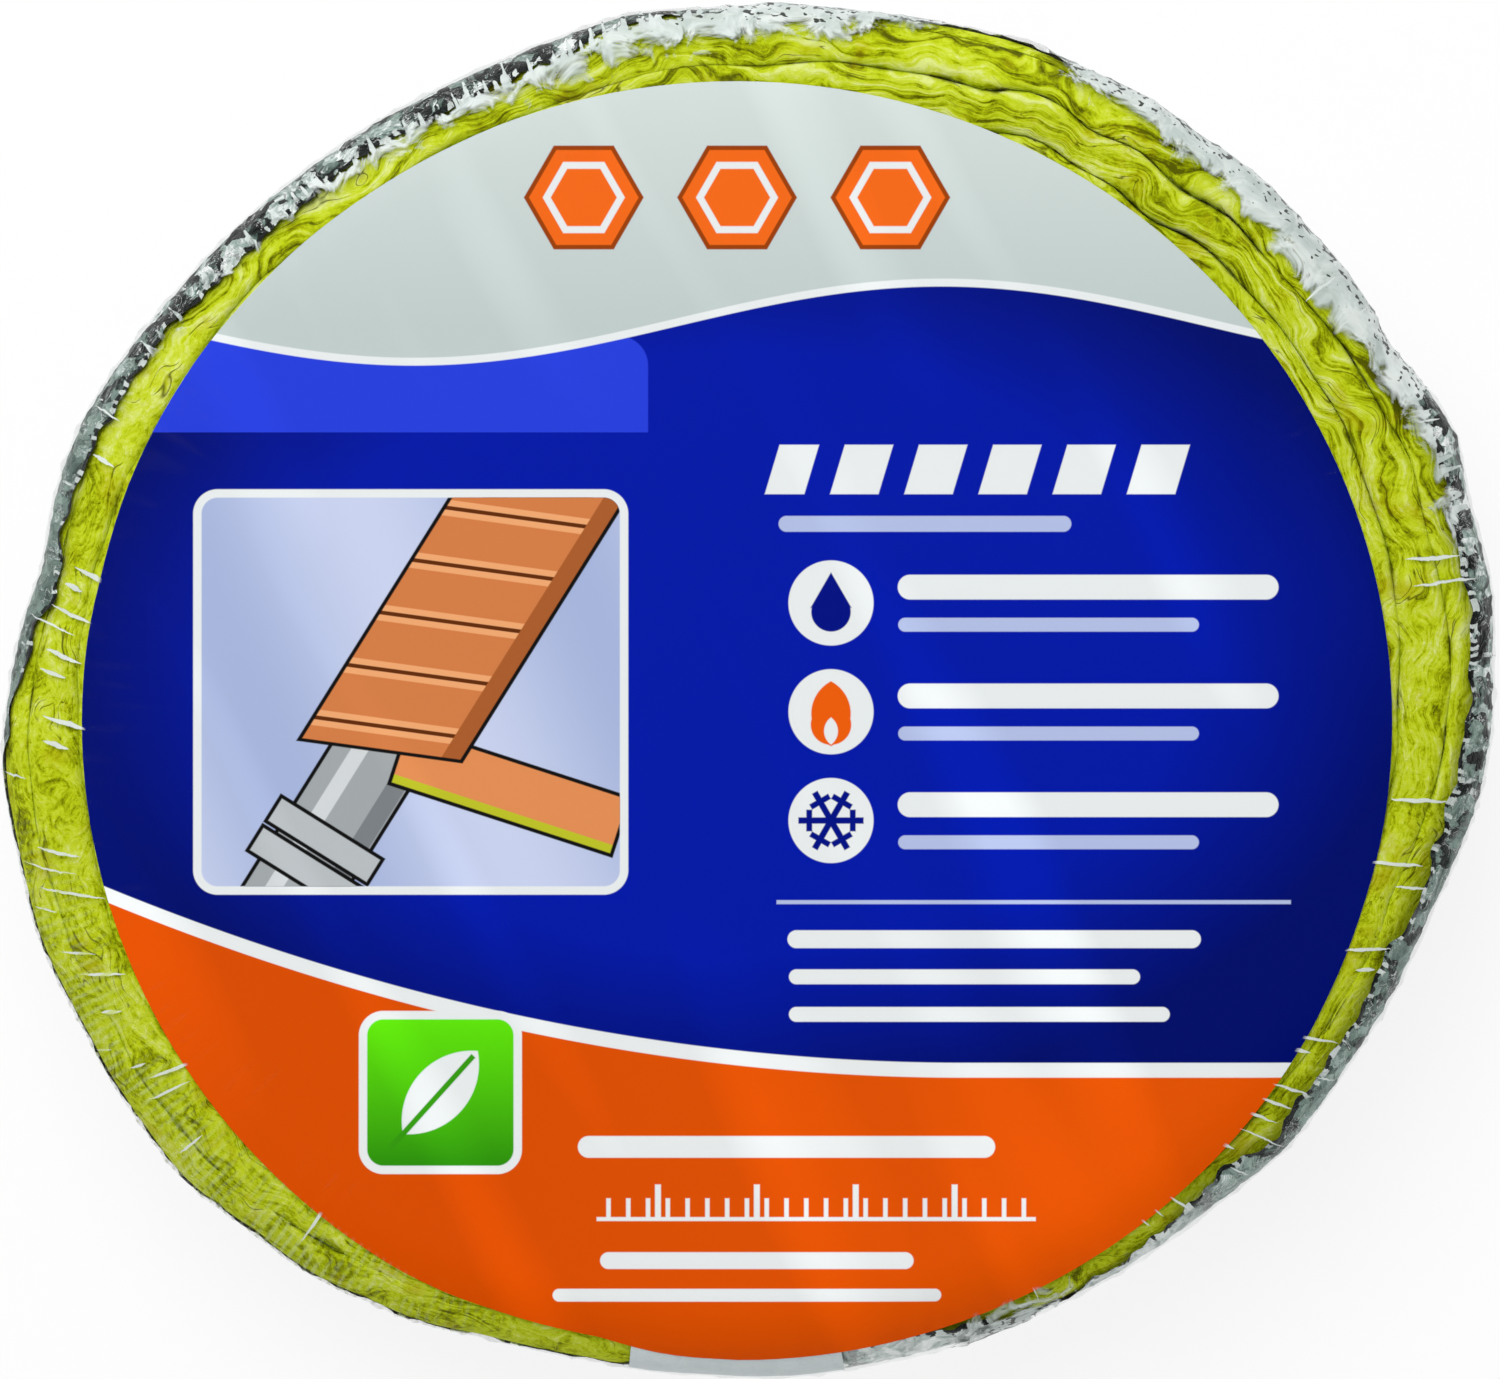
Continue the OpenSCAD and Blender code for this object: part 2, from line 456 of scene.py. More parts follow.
def foil_finish():
    """Thin foil, crushed into small facets, with a notched edge where it was cut."""
    r = Recipe("crinkled foil")
    place = r.object_place()
    along, from_edge = r.chart()
    wobble = r.vector_sum("MULTIPLY", r.noise(place, 0.22, 2.0, 0.5, colour=True), (5, 5, 5))
    bent = r.vector_sum("ADD", r.join(along, from_edge * 0.6, 0.0), wobble)
    facet, tilt, _ = r.cells(bent, 0.34)
    cloud, shine, _ = r.parts(r.noise(place, 0.17, 4.0, 0.68, 1.5, colour=True))
    x, y, _ = r.parts(place)

    # The foil is less crushed at one end of the roll and on a part of its side, smoothed and
    # painted pale as a reflection beside the tape, and plainer on the wall than on the shoulders
    calm_end = r.between(y * 0.3 - x, 122.0, 142.0, 0.75)
    calm = r.most(calm_end, r.between(x * 0.62 - y * 0.78, 122.0, 136.0, 0.6))
    smoothed = r.between(-y, 120.0, 130.0) * r.between(x, 76.0, 50.0) * r.between(x, -24.0, -12.0)
    wall = r.between(from_edge, 13.0, 22.0)
    tone = (facet * 0.5 + cloud * 0.9 - 0.7) * (1 - calm) + calm * 0.05
    # The facets' tones, from black to near white, are painted reflections of dark and bright
    # surroundings
    colour = r.ramp(
        tone + 0.5,
        (0.36, paint(6, 10, 9)),
        (0.46, paint(24, 36, 32)),
        (0.50, paint(84, 104, 96)),
        (0.60, paint(132, 154, 145)),
        (0.68, paint(176, 192, 186)),
        (0.76, paint(238, 242, 241)),
    )

    # Painted glints on the ridges, painted shade in the valleys, and the silver wall, lighter in
    # patches as a painted reflection
    ridge_glint = r.between(abs(shine - 0.5), 0.014, 0.0) * r.between(tilt, 0.4, 0.5)
    colour = r.mix(colour, paint(236, 240, 239), ridge_glint)
    valley_shade = r.between(abs(cloud - shine), 0.016, 0.0)
    colour = r.mix(colour, paint(6, 9, 8), valley_shade * 0.85)
    lit = r.between(cloud + shine * 0.5, 0.62, 0.88)
    silver = r.mix(paint(142, 152, 149), paint(206, 212, 210), lit)
    colour = r.mix(colour, silver, wall * 0.86)
    # Painted reflection: the smoothed foil beside the tape is made pale
    pale = r.mix(paint(150, 165, 160), paint(226, 232, 230), r.between(cloud, 0.36, 0.54))
    colour = r.mix(colour, pale, smoothed * 0.85)

    # The cut edge is notched: painted shade under some steps of it, a painted glint on some and the
    # rest plain
    notch, _, _ = r.dice((along + (shine - 0.5) * 3) / NOTCH)
    edge = r.between(from_edge + notch * 1.2 + (cloud - 0.5) * 3, 2.3, 2.0)
    colour = r.mix(colour, paint(10, 16, 14), edge * r.between(notch, 0.38, 0.4))
    colour = r.mix(colour, paint(206, 214, 210), edge * r.between(notch, 0.24, 0.22))
    height = tilt * (0.4 - wall * 0.3) + cloud * 1.2 + shine * 0.5
    height = height + abs(shine - 0.5) * wall * 3
    inputs = {
        "Base Color": colour,
        "Metallic": 0.6 + wall * 0.35,
        "Roughness": 0.26 + cloud * 0.2,
        "Specular IOR Level": 0.3,
        "Normal": r.bump(height, 1.2, 0.9),
    }
    return r.surface(r.node("BsdfPrincipled", {}, inputs))


def tape_finish():
    """White paper tape, soft with handling and wrinkled over the foil."""
    r = Recipe("paper tape")
    place = r.object_place()
    fibre = r.noise(place, 1.4, 4.0, 0.7)
    wrinkle = r.noise(place, 0.16, 3.0, 0.6, 1.4)
    colour = r.mix(paint(192, 202, 203), paint(220, 228, 229), fibre * 0.5 + wrinkle * 0.5)
    normal = r.bump(fibre * 0.1 + wrinkle, 1.0, 0.6)
    inputs = {"Base Color": colour, "Roughness": 0.6, "Normal": normal}
    return r.surface(r.node("BsdfPrincipled", {}, inputs))


# How the film gathers on the roll's ends, by direction in degrees from the label's level line:
# where the gathered film, painted pale as milky film and glare, starts and ends, in millimetres
# in from the rim, the share of the creases painted white as highlights, and how much they slant
GATHERED = [
    (0, 5, 2, 0.3, 0), (8, 5, 3, 0.3, 0), (14, 5, 7, 0.35, 0.2), (22, 5, 8, 0.35, 0.2),
    (28, -3, 6, 0.25, 0), (32, -5, 9, 0.2, 0), (50, -5, 7.5, 0.12, 0), (62, -5, 4, 0.05, 0),
    (68, 5, -4, 0.0, 0), (76, -2, 2, 0.0, 0), (82, -5, 6.5, 0.0, 0), (94, 2, 7.8, 0.02, 0),
    (104, 4.5, 8.6, 0.03, 0), (116, 6, 8.2, 0.05, 0), (132, 6, 6.2, 0.06, 0), (148, 6, 4.6, 0.1, 0),
    (158, 6, 4, 0.3, 0.1), (168, 6, 2, 0.5, 0.2), (180, 6, 0, 0.6, 0.36), (198, 6, 0, 0.7, 0.6),
    (210, 6, -4, 0.4, 0.5), (222, 6, -4, 0.1, 0), (255, 6, -6, 0.0, 0), (284, 2, -4, 0.0, 0),
    (291, -3, 4, 0.1, 0), (299, 3, 2, 0.4, 0), (306, 6, 0, 0.85, -0.5), (334, 6, 0, 0.8, -0.6),
    (344, 6, 2, 0.4, -0.3), (360, 5, 2, 0.3, 0),
]

# A ramp holds numbers from 0 to 1, so a distance goes into it moved up and divided by its span
HOLD_UP, HOLD_SPAN = 6, 18

# Distance from crease to crease, and from wrinkle to wrinkle where they stand like a comb, and
# the middle of that comb as a share of the way round
LANE, COMB, COMB_AT = 4.4, 1.9, 0.61


def clear_over(r, roughness):
    """What lies under the film, with the film's own gloss over it."""
    clear = r.node("BsdfTransparent", {}, {"Color": (1, 1, 1, 1)})
    gloss = r.node("BsdfGlossy", {}, {"Color": (1, 1, 1, 1), "Roughness": roughness})
    sheen = r.node("LayerWeight", {}, {"Blend": 0.07})
    return r.node("MixShader", {}, {0: sheen * 0.3, 1: clear, 2: gloss})


def clear_film_finish():
    """Shrink film drawn tight, with faint uneven gloss."""
    r = Recipe("tight film")
    return r.surface(clear_over(r, 0.05 + r.noise(r.object_place(), 0.02, 1.0) * 0.12))


def creased_film_finish():
    """Shrink film at the shoulders: bunched up pale, partly milky and partly painted glare, with
    fine creases across painted white as highlights.
    """
    r = Recipe("creased film")
    along, inset = r.chart()
    round_share = r.sum("FRACT", along / GIRTH)
    stops = []
    for at, start, end, share, slant in GATHERED:
        held = [(distance + HOLD_UP) / HOLD_SPAN for distance in (start, end)]
        stops.append((at / 360, (*held, share, (slant + 1) / 2)))
    table = r.ramp(round_share, *stops)
    start, end, shown = r.parts(table)
    slant = Value(r, table.socket.node.outputs["Alpha"]) * 2 - 1
    place = r.object_place()
    ragged, torn, patch = r.parts(r.noise(place, 0.13, 3.0, 0.7, 0.8, colour=True))
    spike = r.between(r.noise(r.join(along * 0.55, inset * 0.06, 5.0), 1.0, 1.0), 0.52, 0.68)
    speck = r.noise(place, 0.62, 1.0, 0.6)
    label_x, label_y, _ = r.parts(r.object_place(LEVEL, (LABEL_X, LABEL_Y, 0)))

    # 1 outside the label's edge
    bare = r.sum("SQRT", (label_x / LABEL_W) ** 2.0 + (label_y / LABEL_H) ** 2.0)
    label_r = (LABEL_W + LABEL_H) / 2
    bare = r.between(bare * label_r - label_r, -0.8, 0.2)

    # Gathered film, painted pale as milky film and glare, with ragged borders, and none of it over
    # the label
    past_start = inset - start * HOLD_SPAN + HOLD_UP + (torn - 0.5) * 8 + spike * 4
    grown = r.between(past_start, 0.0, 0.5)
    to_end = end * HOLD_SPAN - HOLD_UP + (ragged - 0.5) * 16 - inset
    ended = r.between(to_end, -0.6, 1.8)
    gathered = grown * ended * bare

    # Single creases, one at most in each lane, with its own place, width and length, painted white
    # as highlights
    lane = (along - slant * inset + (patch - 0.5) * 1.4) / LANE
    chance, wide, reach = r.dice(lane)
    way = (inset - 1.0 - wide * 8) / (3.0 + reach * 9)
    taper = r.most(way * (1 - way) * 4, 0.0)
    off = abs(r.sum("FRACT", lane) - 0.3 - chance * 0.4) * LANE - taper * (0.18 + wide * 0.34)
    creased = r.between(off, 0.06, -0.06) * r.between(taper, 0.0, 0.1)
    creased = creased * r.sum("LESS_THAN", chance, shown)

    # Fine wrinkles side by side, like a comb, painted pale as their highlights
    comb = r.between(r.sum("SINE", (along + (ragged - 0.5) * 1.5) * TAU / COMB), -0.2, 0.9)
    comb = comb * r.between(abs(round_share - COMB_AT), 0.085, 0.05) * r.between(inset, 13.0, 6.0)
    comb = comb * r.between(patch, 0.40, 0.56) * 0.34

    # The haze lays a pale shader over the film: partly the bunched film's own milkiness, partly
    # painted glare, with painted highlights on the creases and comb
    haze_and_glare = r.most(gathered * (0.78 + patch * 0.3), r.most(creased * 0.9, comb) * bare)
    # Lighter in ragged patches and on the creases, as painted highlights
    lit = r.between(torn + creased * 0.6, 0.38, 0.62)
    milk_and_glare = r.mix(paint(178, 190, 186), paint(214, 221, 218), lit)
    milk_and_glare = r.mix(milk_and_glare, paint(200, 214, 140), r.between(comb, 0.0, 0.1))
    specks = r.between(speck - inset * 0.036, 0.53, 0.56) * gathered
    milk_and_glare = r.mix(milk_and_glare, paint(24, 34, 30), specks)
    milky_glare_shader = r.node("BsdfPrincipled", {}, {"Base Color": milk_and_glare, "Roughness": 0.4})
    return r.surface(r.node("MixShader", {}, {0: haze_and_glare, 1: clear_over(r, 0.08), 2: milky_glare_shader}))


class Print(Recipe):
    """A printed sheet: plain shapes laid over one another, in millimetres from its middle."""

    def __init__(self, name, turn, centre):
        super().__init__(name)
        self.x, self.y, _ = self.parts(self.object_place(turn, centre))
        self.colour = (1, 1, 1, 1)

    def lay(self, distance, colour, within=None, soft=0.12):
        """Prints a colour wherever the distance is below zero."""
        share = self.between(distance, soft, -soft)
        if within is not None:
            share = share * self.between(within, soft, -soft)
        self.colour = self.mix(self.colour, colour, share)

    def length(self, x, y):
        return self.sum("SQRT", x * x + y * y)

    def turned(self, x, y, degrees):
        """Coordinates from a point, along and across a direction."""
        c, s = math.cos(math.radians(degrees)), math.sin(math.radians(degrees))
        dx, dy = self.x - x, self.y - y
        return dx * c + dy * s, dy * c - dx * s

    def disc(self, x, y, radius):
        return self.length(self.x - x, self.y - y) - radius

    def block(self, x, y, half_w, half_h, corner=0.0):
        """Distance to a block, for coordinates from its middle. Its corners may be round."""
        over_x, over_y = abs(x) - (half_w - corner), abs(y) - (half_h - corner)
        if not corner:
            return self.most(over_x, over_y)
        return self.length(self.most(over_x, 0.0), self.most(over_y, 0.0)) - corner

    def bar(self, x, y, half_w, half_h, corner=0.0):
        return self.block(self.x - x, self.y - y, half_w, half_h, corner)

    def stroke(self, x, y, half_w, half_h):
        """Distance to a bar with round ends."""
        return self.length(self.most(abs(self.x - x) - half_w, 0.0), self.y - y) - half_h


WHITE, INK, ORANGE = paint(228, 232, 232), paint(16, 16, 16), paint(232, 92, 8)
DEEP_BLUE, PALE_BLUE = paint(0, 16, 128), paint(176, 188, 224)


def print_crest(p):
    """The pale top with its wavy edge, a lighter blue band under it, and three hexagons."""
    x, y = p.x, p.y
    crest = p.sum("SINE", (x + 12) / 34) * 8 + 80
    p.lay(p.bar(-118, 64, 100, 14, 6), paint(38, 62, 214))
    p.lay(crest - y, WHITE)
    under_line = crest + 1.6 - y
    pale = p.mix(paint(188, 200, 198), paint(207, 217, 214), p.between(y, 80.0, 128.0))
    p.lay(under_line, pale)
    folded = abs(p.sum("WRAP", x, 15.5, -15.5))
    tall = abs(y - 106)
    hexagon = p.most(p.most(folded * 0.866 + tall * 0.5, tall) - 10.5, abs(x) - 44)
    p.lay(hexagon, paint(150, 62, 6))
    p.lay(hexagon + 0.9, paint(238, 104, 24))
    p.lay(abs(hexagon + 4.0) - 0.7, WHITE)


def print_foot(p):
    """The orange foot, which rises to the left, with a white line along it."""
    rise = p.most(46 - p.x, 0.0)
    foot = rise * rise * 0.00118 - 72
    p.lay(p.y - foot - 3.0, WHITE)
    p.lay(p.y - foot, p.mix(paint(214, 77, 0), paint(223, 83, 2), p.between(p.x, -60.0, 70.0)))


def print_picture(p):
    """A panel with a pipe that slants up through it, its upper part wrapped in a wound strip."""
    x, y = p.x, p.y
    frame_edge = p.bar(-66, 6, 44, 41, 5)
    p.lay(frame_edge, WHITE)
    panel = frame_edge + 1.7
    sky = p.between(p.sum("SINE", (x * 0.9 + y * 0.4) / 11), -1.0, 1.0)
    p.lay(panel, p.mix(paint(164, 178, 216), paint(198, 207, 234), sky))
    along, across = p.turned(-66, 4, 58)
    inside = abs(across) - 9.5
    p.lay(inside, INK, panel)
    p.lay(inside + 0.8, paint(160, 165, 168), panel)
    p.lay(abs(across - 3.6) - 1.6, paint(208, 212, 214), panel)
    p.lay(abs(across + 6.6) - 1.9, paint(122, 127, 131), panel)
    collar = p.block(abs(along + 36.5) - 3.5, across, 3.4, 12.5)
    p.lay(collar, INK, panel)
    p.lay(collar + 0.8, paint(182, 187, 190), panel)
    tail_along, tail_across = p.turned(-46, -14, -18)
    tail = p.block(tail_along, tail_across, 24, 6.5)
    p.lay(tail, INK, panel)
    tail_back = p.between(tail_across, -4.1, -3.9)
    p.lay(tail + 0.8, p.mix(paint(186, 190, 40), paint(222, 140, 84), tail_back), panel)
    edge = along + 12 + across * 0.45
    sleeve = p.most(abs(across) - 15.5, -edge)
    p.lay(sleeve, INK, panel)
    side = p.between(across, -11.3, -11.1)
    lap = abs(p.sum("FRACT", (edge + 188) / 12.5) - 0.5) * 12.5
    shade = p.mix(paint(236, 166, 112), paint(208, 124, 70), p.between(lap, 1.7, 1.9))
    shade = p.mix(paint(96, 44, 10), shade, p.between(lap, 0.35, 0.55))
    p.lay(sleeve + 0.8, p.mix(paint(168, 92, 44), shade, side), panel)


def print_rows(p):
    """A dashed heading, and three rows with an emblem on a white disc and bars beside it."""
    x, y = p.x, p.y
    dash = abs(p.sum("FRACT", (x - y * 0.3 + 207.6) / 15) - 0.5) * 15 - 4.9
    ends = abs(x - y * 0.3 - 34.2) - 42.4
    p.lay(p.most(p.most(dash, ends), abs(y - 51) - 5.0), WHITE)
    p.lay(p.stroke(38, 40, 28, 1.6), PALE_BLUE)
    row_y = p.sum("WRAP", y, 13.0, -9.0) - 2
    row = p.length(x - 19, row_y) - 8.6
    row = p.sum("MINIMUM", row, p.length(p.most(abs(x - 71) - 36, 0.0), row_y - 3.2) - 2.5)
    three = abs(y - 2) - 33
    p.lay(p.most(row, three), WHITE)
    p.lay(p.most(p.length(p.most(abs(x - 63) - 29, 0.0), row_y + 4.4) - 1.4, three), PALE_BLUE)
    bulb = p.disc(19, 22.2, 4.0)
    point = p.most(abs(x - 19) * 0.866 + (y - 22.2) * 0.5 - 4.0, 23.0 - y)
    p.lay(p.sum("MINIMUM", bulb, point), DEEP_BLUE)
    flame = p.most(p.disc(15.6, 1.6, 7.4), p.disc(22.4, 1.6, 7.4))
    p.lay(p.sum("MINIMUM", flame, p.disc(19, -0.6, 4.1)), ORANGE)
    p.lay(p.most(p.disc(17.0, -1.9, 3.4), p.disc(21.0, -1.9, 3.4)), WHITE)
    for degrees in (0, 60, 120):
        spoke, off = p.turned(19, -20, degrees)
        arm = p.block(spoke, off, 6.6, 0.65)
        tips = p.block(abs(spoke) - 4.4, off, 0.6, 2.2)
        p.lay(p.sum("MINIMUM", arm, tips), DEEP_BLUE)


def print_footing(p):
    """Plain bars over the foot, a green leaf tag, and a ruler with its ticks."""
    x, y = p.x, p.y
    p.lay(p.bar(60, -36.5, 52, 0.4), PALE_BLUE)
    for row, half in enumerate((40, 34, 37)):
        p.lay(p.stroke(12 + half, -44 - 7.6 * row, half, 1.8 - 0.3 * (row > 0)), WHITE)
    tag = p.bar(-60, -75, 16.5, 16.5, 5)
    p.lay(tag, WHITE)
    p.lay(tag + 1.7, p.mix(paint(36, 132, 10), paint(96, 226, 8), p.between(y, -92.0, -60.0)))
    vein_along, vein_across = p.turned(-60, -75, 48)
    p.lay(p.length(vein_along, abs(vein_across) + 8.6) - 14.2, WHITE)
    p.lay(p.block(vein_along + 2.5, vein_across, 12.5, 0.55), paint(52, 150, 14))
    p.lay(p.stroke(10, -86, 40, 2.2), WHITE)
    tick = abs(p.sum("FRACT", (x + 200) / 4) - 0.5) * 4 - 0.45
    long_tick = abs(p.sum("FRACT", (x + 206) / 20) - 0.5) * 20 - 0.6
    ticks = p.sum("MINIMUM", p.most(tick, y + 96.4), long_tick)
    p.lay(p.most(ticks, p.bar(16, -97, 44, 3.4)), WHITE)
    p.lay(p.bar(16, -100.6, 44.4, 0.4), WHITE)
    p.lay(p.stroke(4, -109, 30, 1.7), WHITE)
    p.lay(p.stroke(2, -116, 38, 1.3), WHITE)


# The label's parts, each with what is printed on it
LABEL_PARTS = {
    "crest": (print_crest,),
    "picture": (print_foot, print_picture),
    "rows": (print_rows,),
    "foot": (print_foot, print_footing),
}
CREST_Y, FOOT_Y, PICTURE_X = 58.5, -36.0, -18.0


def label_part(x, y):
    """Which part of the label a place on it belongs to."""
    if y > CREST_Y:
        return "crest"
    if y < FOOT_Y:
        return "foot"
    return "picture" if x < PICTURE_X else "rows"


def label_finish(part):
    """The printed card: a blue field that is darker at its edge, and the part's own print."""
    p = Print("printed card " + part, LEVEL, (LABEL_X, LABEL_Y, 0))
    out = p.length(p.x, (p.y - 14) * 1.5)
    p.colour = p.mix(paint(0, 24, 163), paint(0, 13, 104), p.between(out, 92.0, 136.0))
    for draw in LABEL_PARTS[part]:
        draw(p)
    slide, cross = p.turned(0, 0, 118)
    glare = p.noise(p.join(slide * 0.006, cross * 0.035, 2.0), 1.0, 1.0)
    lit = 0.97 + p.between(glare, 0.54, 0.72, 0.18)
    inputs = {
        "Base Color": p.vector_sum("MULTIPLY", p.colour, p.join(lit, lit, lit)),
        "Roughness": 0.4,
        "Specular IOR Level": 0.02,
    }
    return p.surface(p.node("BsdfPrincipled", {}, inputs))


def bare_card_finish():
    """The card's cut edge and its unprinted back: matt white board with a little fibre in it."""
    r = Recipe("bare card")
    fibre = r.noise(r.object_place(), 0.9, 4.0, 0.7)
    colour = r.mix(paint(206, 206, 200), paint(230, 230, 226), fibre)
    inputs = {"Base Color": colour, "Roughness": 0.8, "Normal": r.bump(fibre, 0.1, 0.3)}
    return r.surface(r.node("BsdfPrincipled", {}, inputs))


# ---------------------------------------------------------------- the wound strip

# The winding's turns, and the faces round each
TURNS = WALL_T / TURN_T + 1
STEPS = 260

# Half the straight wall's height, the way over a shoulder, and the way on to the roll's middle
HALF_WALL = (TOP_Z - BASE_Z) / 2 - SHOULDER
ROUND = SHOULDER * math.pi / 2
PATH_END = HALF_WALL + ROUND + HALF_W - SHOULDER

# Past this far in from the outline a net draws in evenly to the roll's middle
EVEN_FROM = 108

# Mean radius of the outer turn, by which the strip's length is counted
WIND_R = 145

slide_x = ripples(11, 9, 17, 60)
slide_y = ripples(12, 9, 17, 60)
lumps = ripples(13, 12, 5, 26)
rag = ripples(14, 10, 2.5, 14)
crumple = ripples(15, 12, 3.5, 16, sharp=True)

# How far round the shoulder the foil folds over the front end, in degrees, by direction
FOLD = [
    (0, 52), (20, 52), (28, 36), (34, 20), (76, 12), (88, 14), (98, 34), (110, 50), (150, 52),
    (176, 46), (188, 7), (259, 6), (263, 64), (276, 68), (281, 46), (287, 44), (293, 22),
    (299, 18), (306, 34), (314, 46), (322, 46), (340, 50), (360, 52),
]

# Where the fold counts as full, and the mean and wave of the plainer fold at the back
FULL_FOLD, BACK_FOLD, BACK_WAVE = 60, 58, 14


def fold_angle(degrees, top):
    """How far the foil folds over an end of the roll, in degrees round the shoulder."""
    back = BACK_FOLD + BACK_WAVE * np.sin(np.radians(3 * degrees))
    return np.where(top, by_direction(degrees, FOLD), back)


def wander(x, y, inset):
    """The pressed turns slide out of their even winding, most where the roll was squeezed."""
    loose = 0.9 + 2.0 * near(clock(x, y), 66, 18) + 0.6 * near(clock(x, y), 200, 30)
    loose = loose * smooth(0, 14, inset)
    return x + loose * slide_x(x, y), y + loose * slide_y(x, y)


def skin(heading, path, proud):
    """Point of the roll's rounded outside, and its inset, as far proud of it as wanted.

    path is the way up from mid height, over the shoulder and on to the middle.
    """
    up = np.abs(path) - HALF_WALL
    bend = np.clip(up / SHOULDER, 0, math.pi / 2)
    inset = SHOULDER - (SHOULDER + proud) * np.cos(bend) + np.clip(up - ROUND, 0, None)
    height = np.minimum(np.abs(path), HALF_WALL) + (SHOULDER + proud) * np.sin(bend)
    z = MID_Z + np.sign(path) * height
    ring = np.minimum(inset, EVEN_FROM)
    x, y = oval(heading, ring)
    shrink = np.clip((HALF_W - inset) / (HALF_W - ring), 0, None)
    return x * shrink, y * shrink, z, inset


def wound_length(turn):
    """Length of the strip from its outer end to a turn."""
    return TAU * (WIND_R * turn - TURN_T * (turn**2 - turn) / 2)


# The strip's section, once round: over the front end, down the inner side, back under the back
# end and up the outer side. Each point has its share of the thickness and its level.
ACROSS = [0, 0.03, 0.1, 0.25, 0.5, 0.75, 0.9, 0.97, 1]
SHARE = np.array(ACROSS + [1] + ACROSS[::-1] + [0, 0])
LEVELS = np.array([1] * 9 + [0] + [-1] * 9 + [0, 1])

# How far the wool keeps in from the outline at mid height, at its ends and under a full fold
SIDE_IN, END_IN, FOLD_IN = 1.4, 0.1, 2.0


def lay_wool(u, v):
    """The strip of wool, wound up: u runs along it and v once round its section."""
    turn = u * TURNS
    heading = WIND_FROM + turn * TAU
    row = np.rint(v * (len(SHARE) - 1)).astype(int)
    share, level = SHARE[row], LEVELS[row]
    outer = np.maximum(0, (turn - 1) * TURN_T)
    inner = np.minimum(turn * TURN_T, WALL_T)
    degrees = clock(*oval(heading, 0.0))
    foil_over = fold_angle(degrees, level >= 0) / FULL_FOLD
    least = np.where(level == 0, SIDE_IN, END_IN) + foil_over.clip(0, 1) * FOLD_IN
    outer = np.maximum(outer, least)
    inner = np.maximum(inner, outer + 0.3)
    thick = inner - outer
    inset = outer + thick * share
    gap = 0.14 * near(degrees, 55, 36) - 0.05
    inset = inset + np.where(share > 0.5, -gap, gap) * (thick > 1)
    x, y = oval(heading, inset)
    edge = np.abs(2 * share - 1) ** 8
    parted = 0.55 + 0.5 * lumps(y * 0.6, x * 0.6, level * 60) + 0.3 * near(clock(x, y), 55, 30)
    edge = edge * np.where(share < 0.5, smooth(2.7, 6, outer), 1) * parted.clip(0.05, 1.1)
    sink = shoulder_drop(inset) + edge * np.minimum(2.2, 0.3 * thick)
    sink = sink + 0.5 * (1 + lumps(x, y, level * 90)).clip(0, 2)
    sink = sink + 1.7 * foil_over * smooth(11, 4, inset)
    z = MID_Z + level * (TOP_Z - MID_Z - sink)
    x, y = wander(x, y, inset)
    x, y, z = settle(x, y, z, heading, inset)
    back = np.where(level < 0, BACK_MAP + share * thick, SIDE_MAP)
    return (x, y, z), (wound_length(turn), np.where(level > 0, share * thick, back))


def under_tape(degrees):
    """1 under the tape's middle, fading away to both sides."""
    return near(degrees, 269, 14)


def crush(x, y, z):
    """How far the foil is crumpled in or out, least where the tape holds it flat."""
    return (0.4 * crumple(x, y, z) - 0.05) * (1 - 0.8 * under_tape(clock(x, y)))


# Share of the outer foil's net that lies on the wall, and the most it goes in and out
ON_WALL = 0.4
FOIL_DEEP, FOIL_PROUD = 0.7, 0.4


def lay_outer_foil(u, v):
    """The foil on the outer turn: u runs round it and v up the side, from fold to fold."""
    heading = WIND_FROM + u * TAU
    side = np.where(v >= 0.5, 1, -1)
    x, y = oval(heading, 0.0)
    degrees = clock(x, y)
    fold = np.radians(fold_angle(degrees, side > 0) + 7 * rag(x, y, side * 80)).clip(0.06, 1.5)
    up = np.abs(v - 0.5) * 2
    over = (up - ON_WALL) / (1 - ON_WALL) * SHOULDER * fold
    path = np.where(up < ON_WALL, up / ON_WALL * HALF_WALL, HALF_WALL + over)
    x, y, z, _ = skin(heading, side * path, 0.0)
    deep = crush(x, y, z)
    lift = 0.5 * smooth(0.9, 1.0, up) * (0.5 + rag(y, x, z)).clip(0, 1) * (1 - under_tape(degrees))
    x, y, z, inset = skin(heading, side * path, (deep + lift).clip(-FOIL_DEEP, FOIL_PROUD))
    x, y, z = settle(x, y, z, heading, inset)
    return (x, y, z), (u * GIRTH, HALF_WALL + SHOULDER * fold - path)


# The least inset of the inner turns' foil, which starts under the outer turn's
INNER_IN = 1.2

# Its section: three points at the back end and three at the front, each with how far it lies
# in from the strip's edge
EDGE_LEVELS = np.array([-1, -1, -1, 1, 1, 1])
EDGE_IN = np.array([0, 1.4, 6, 6, 1.4, 0])


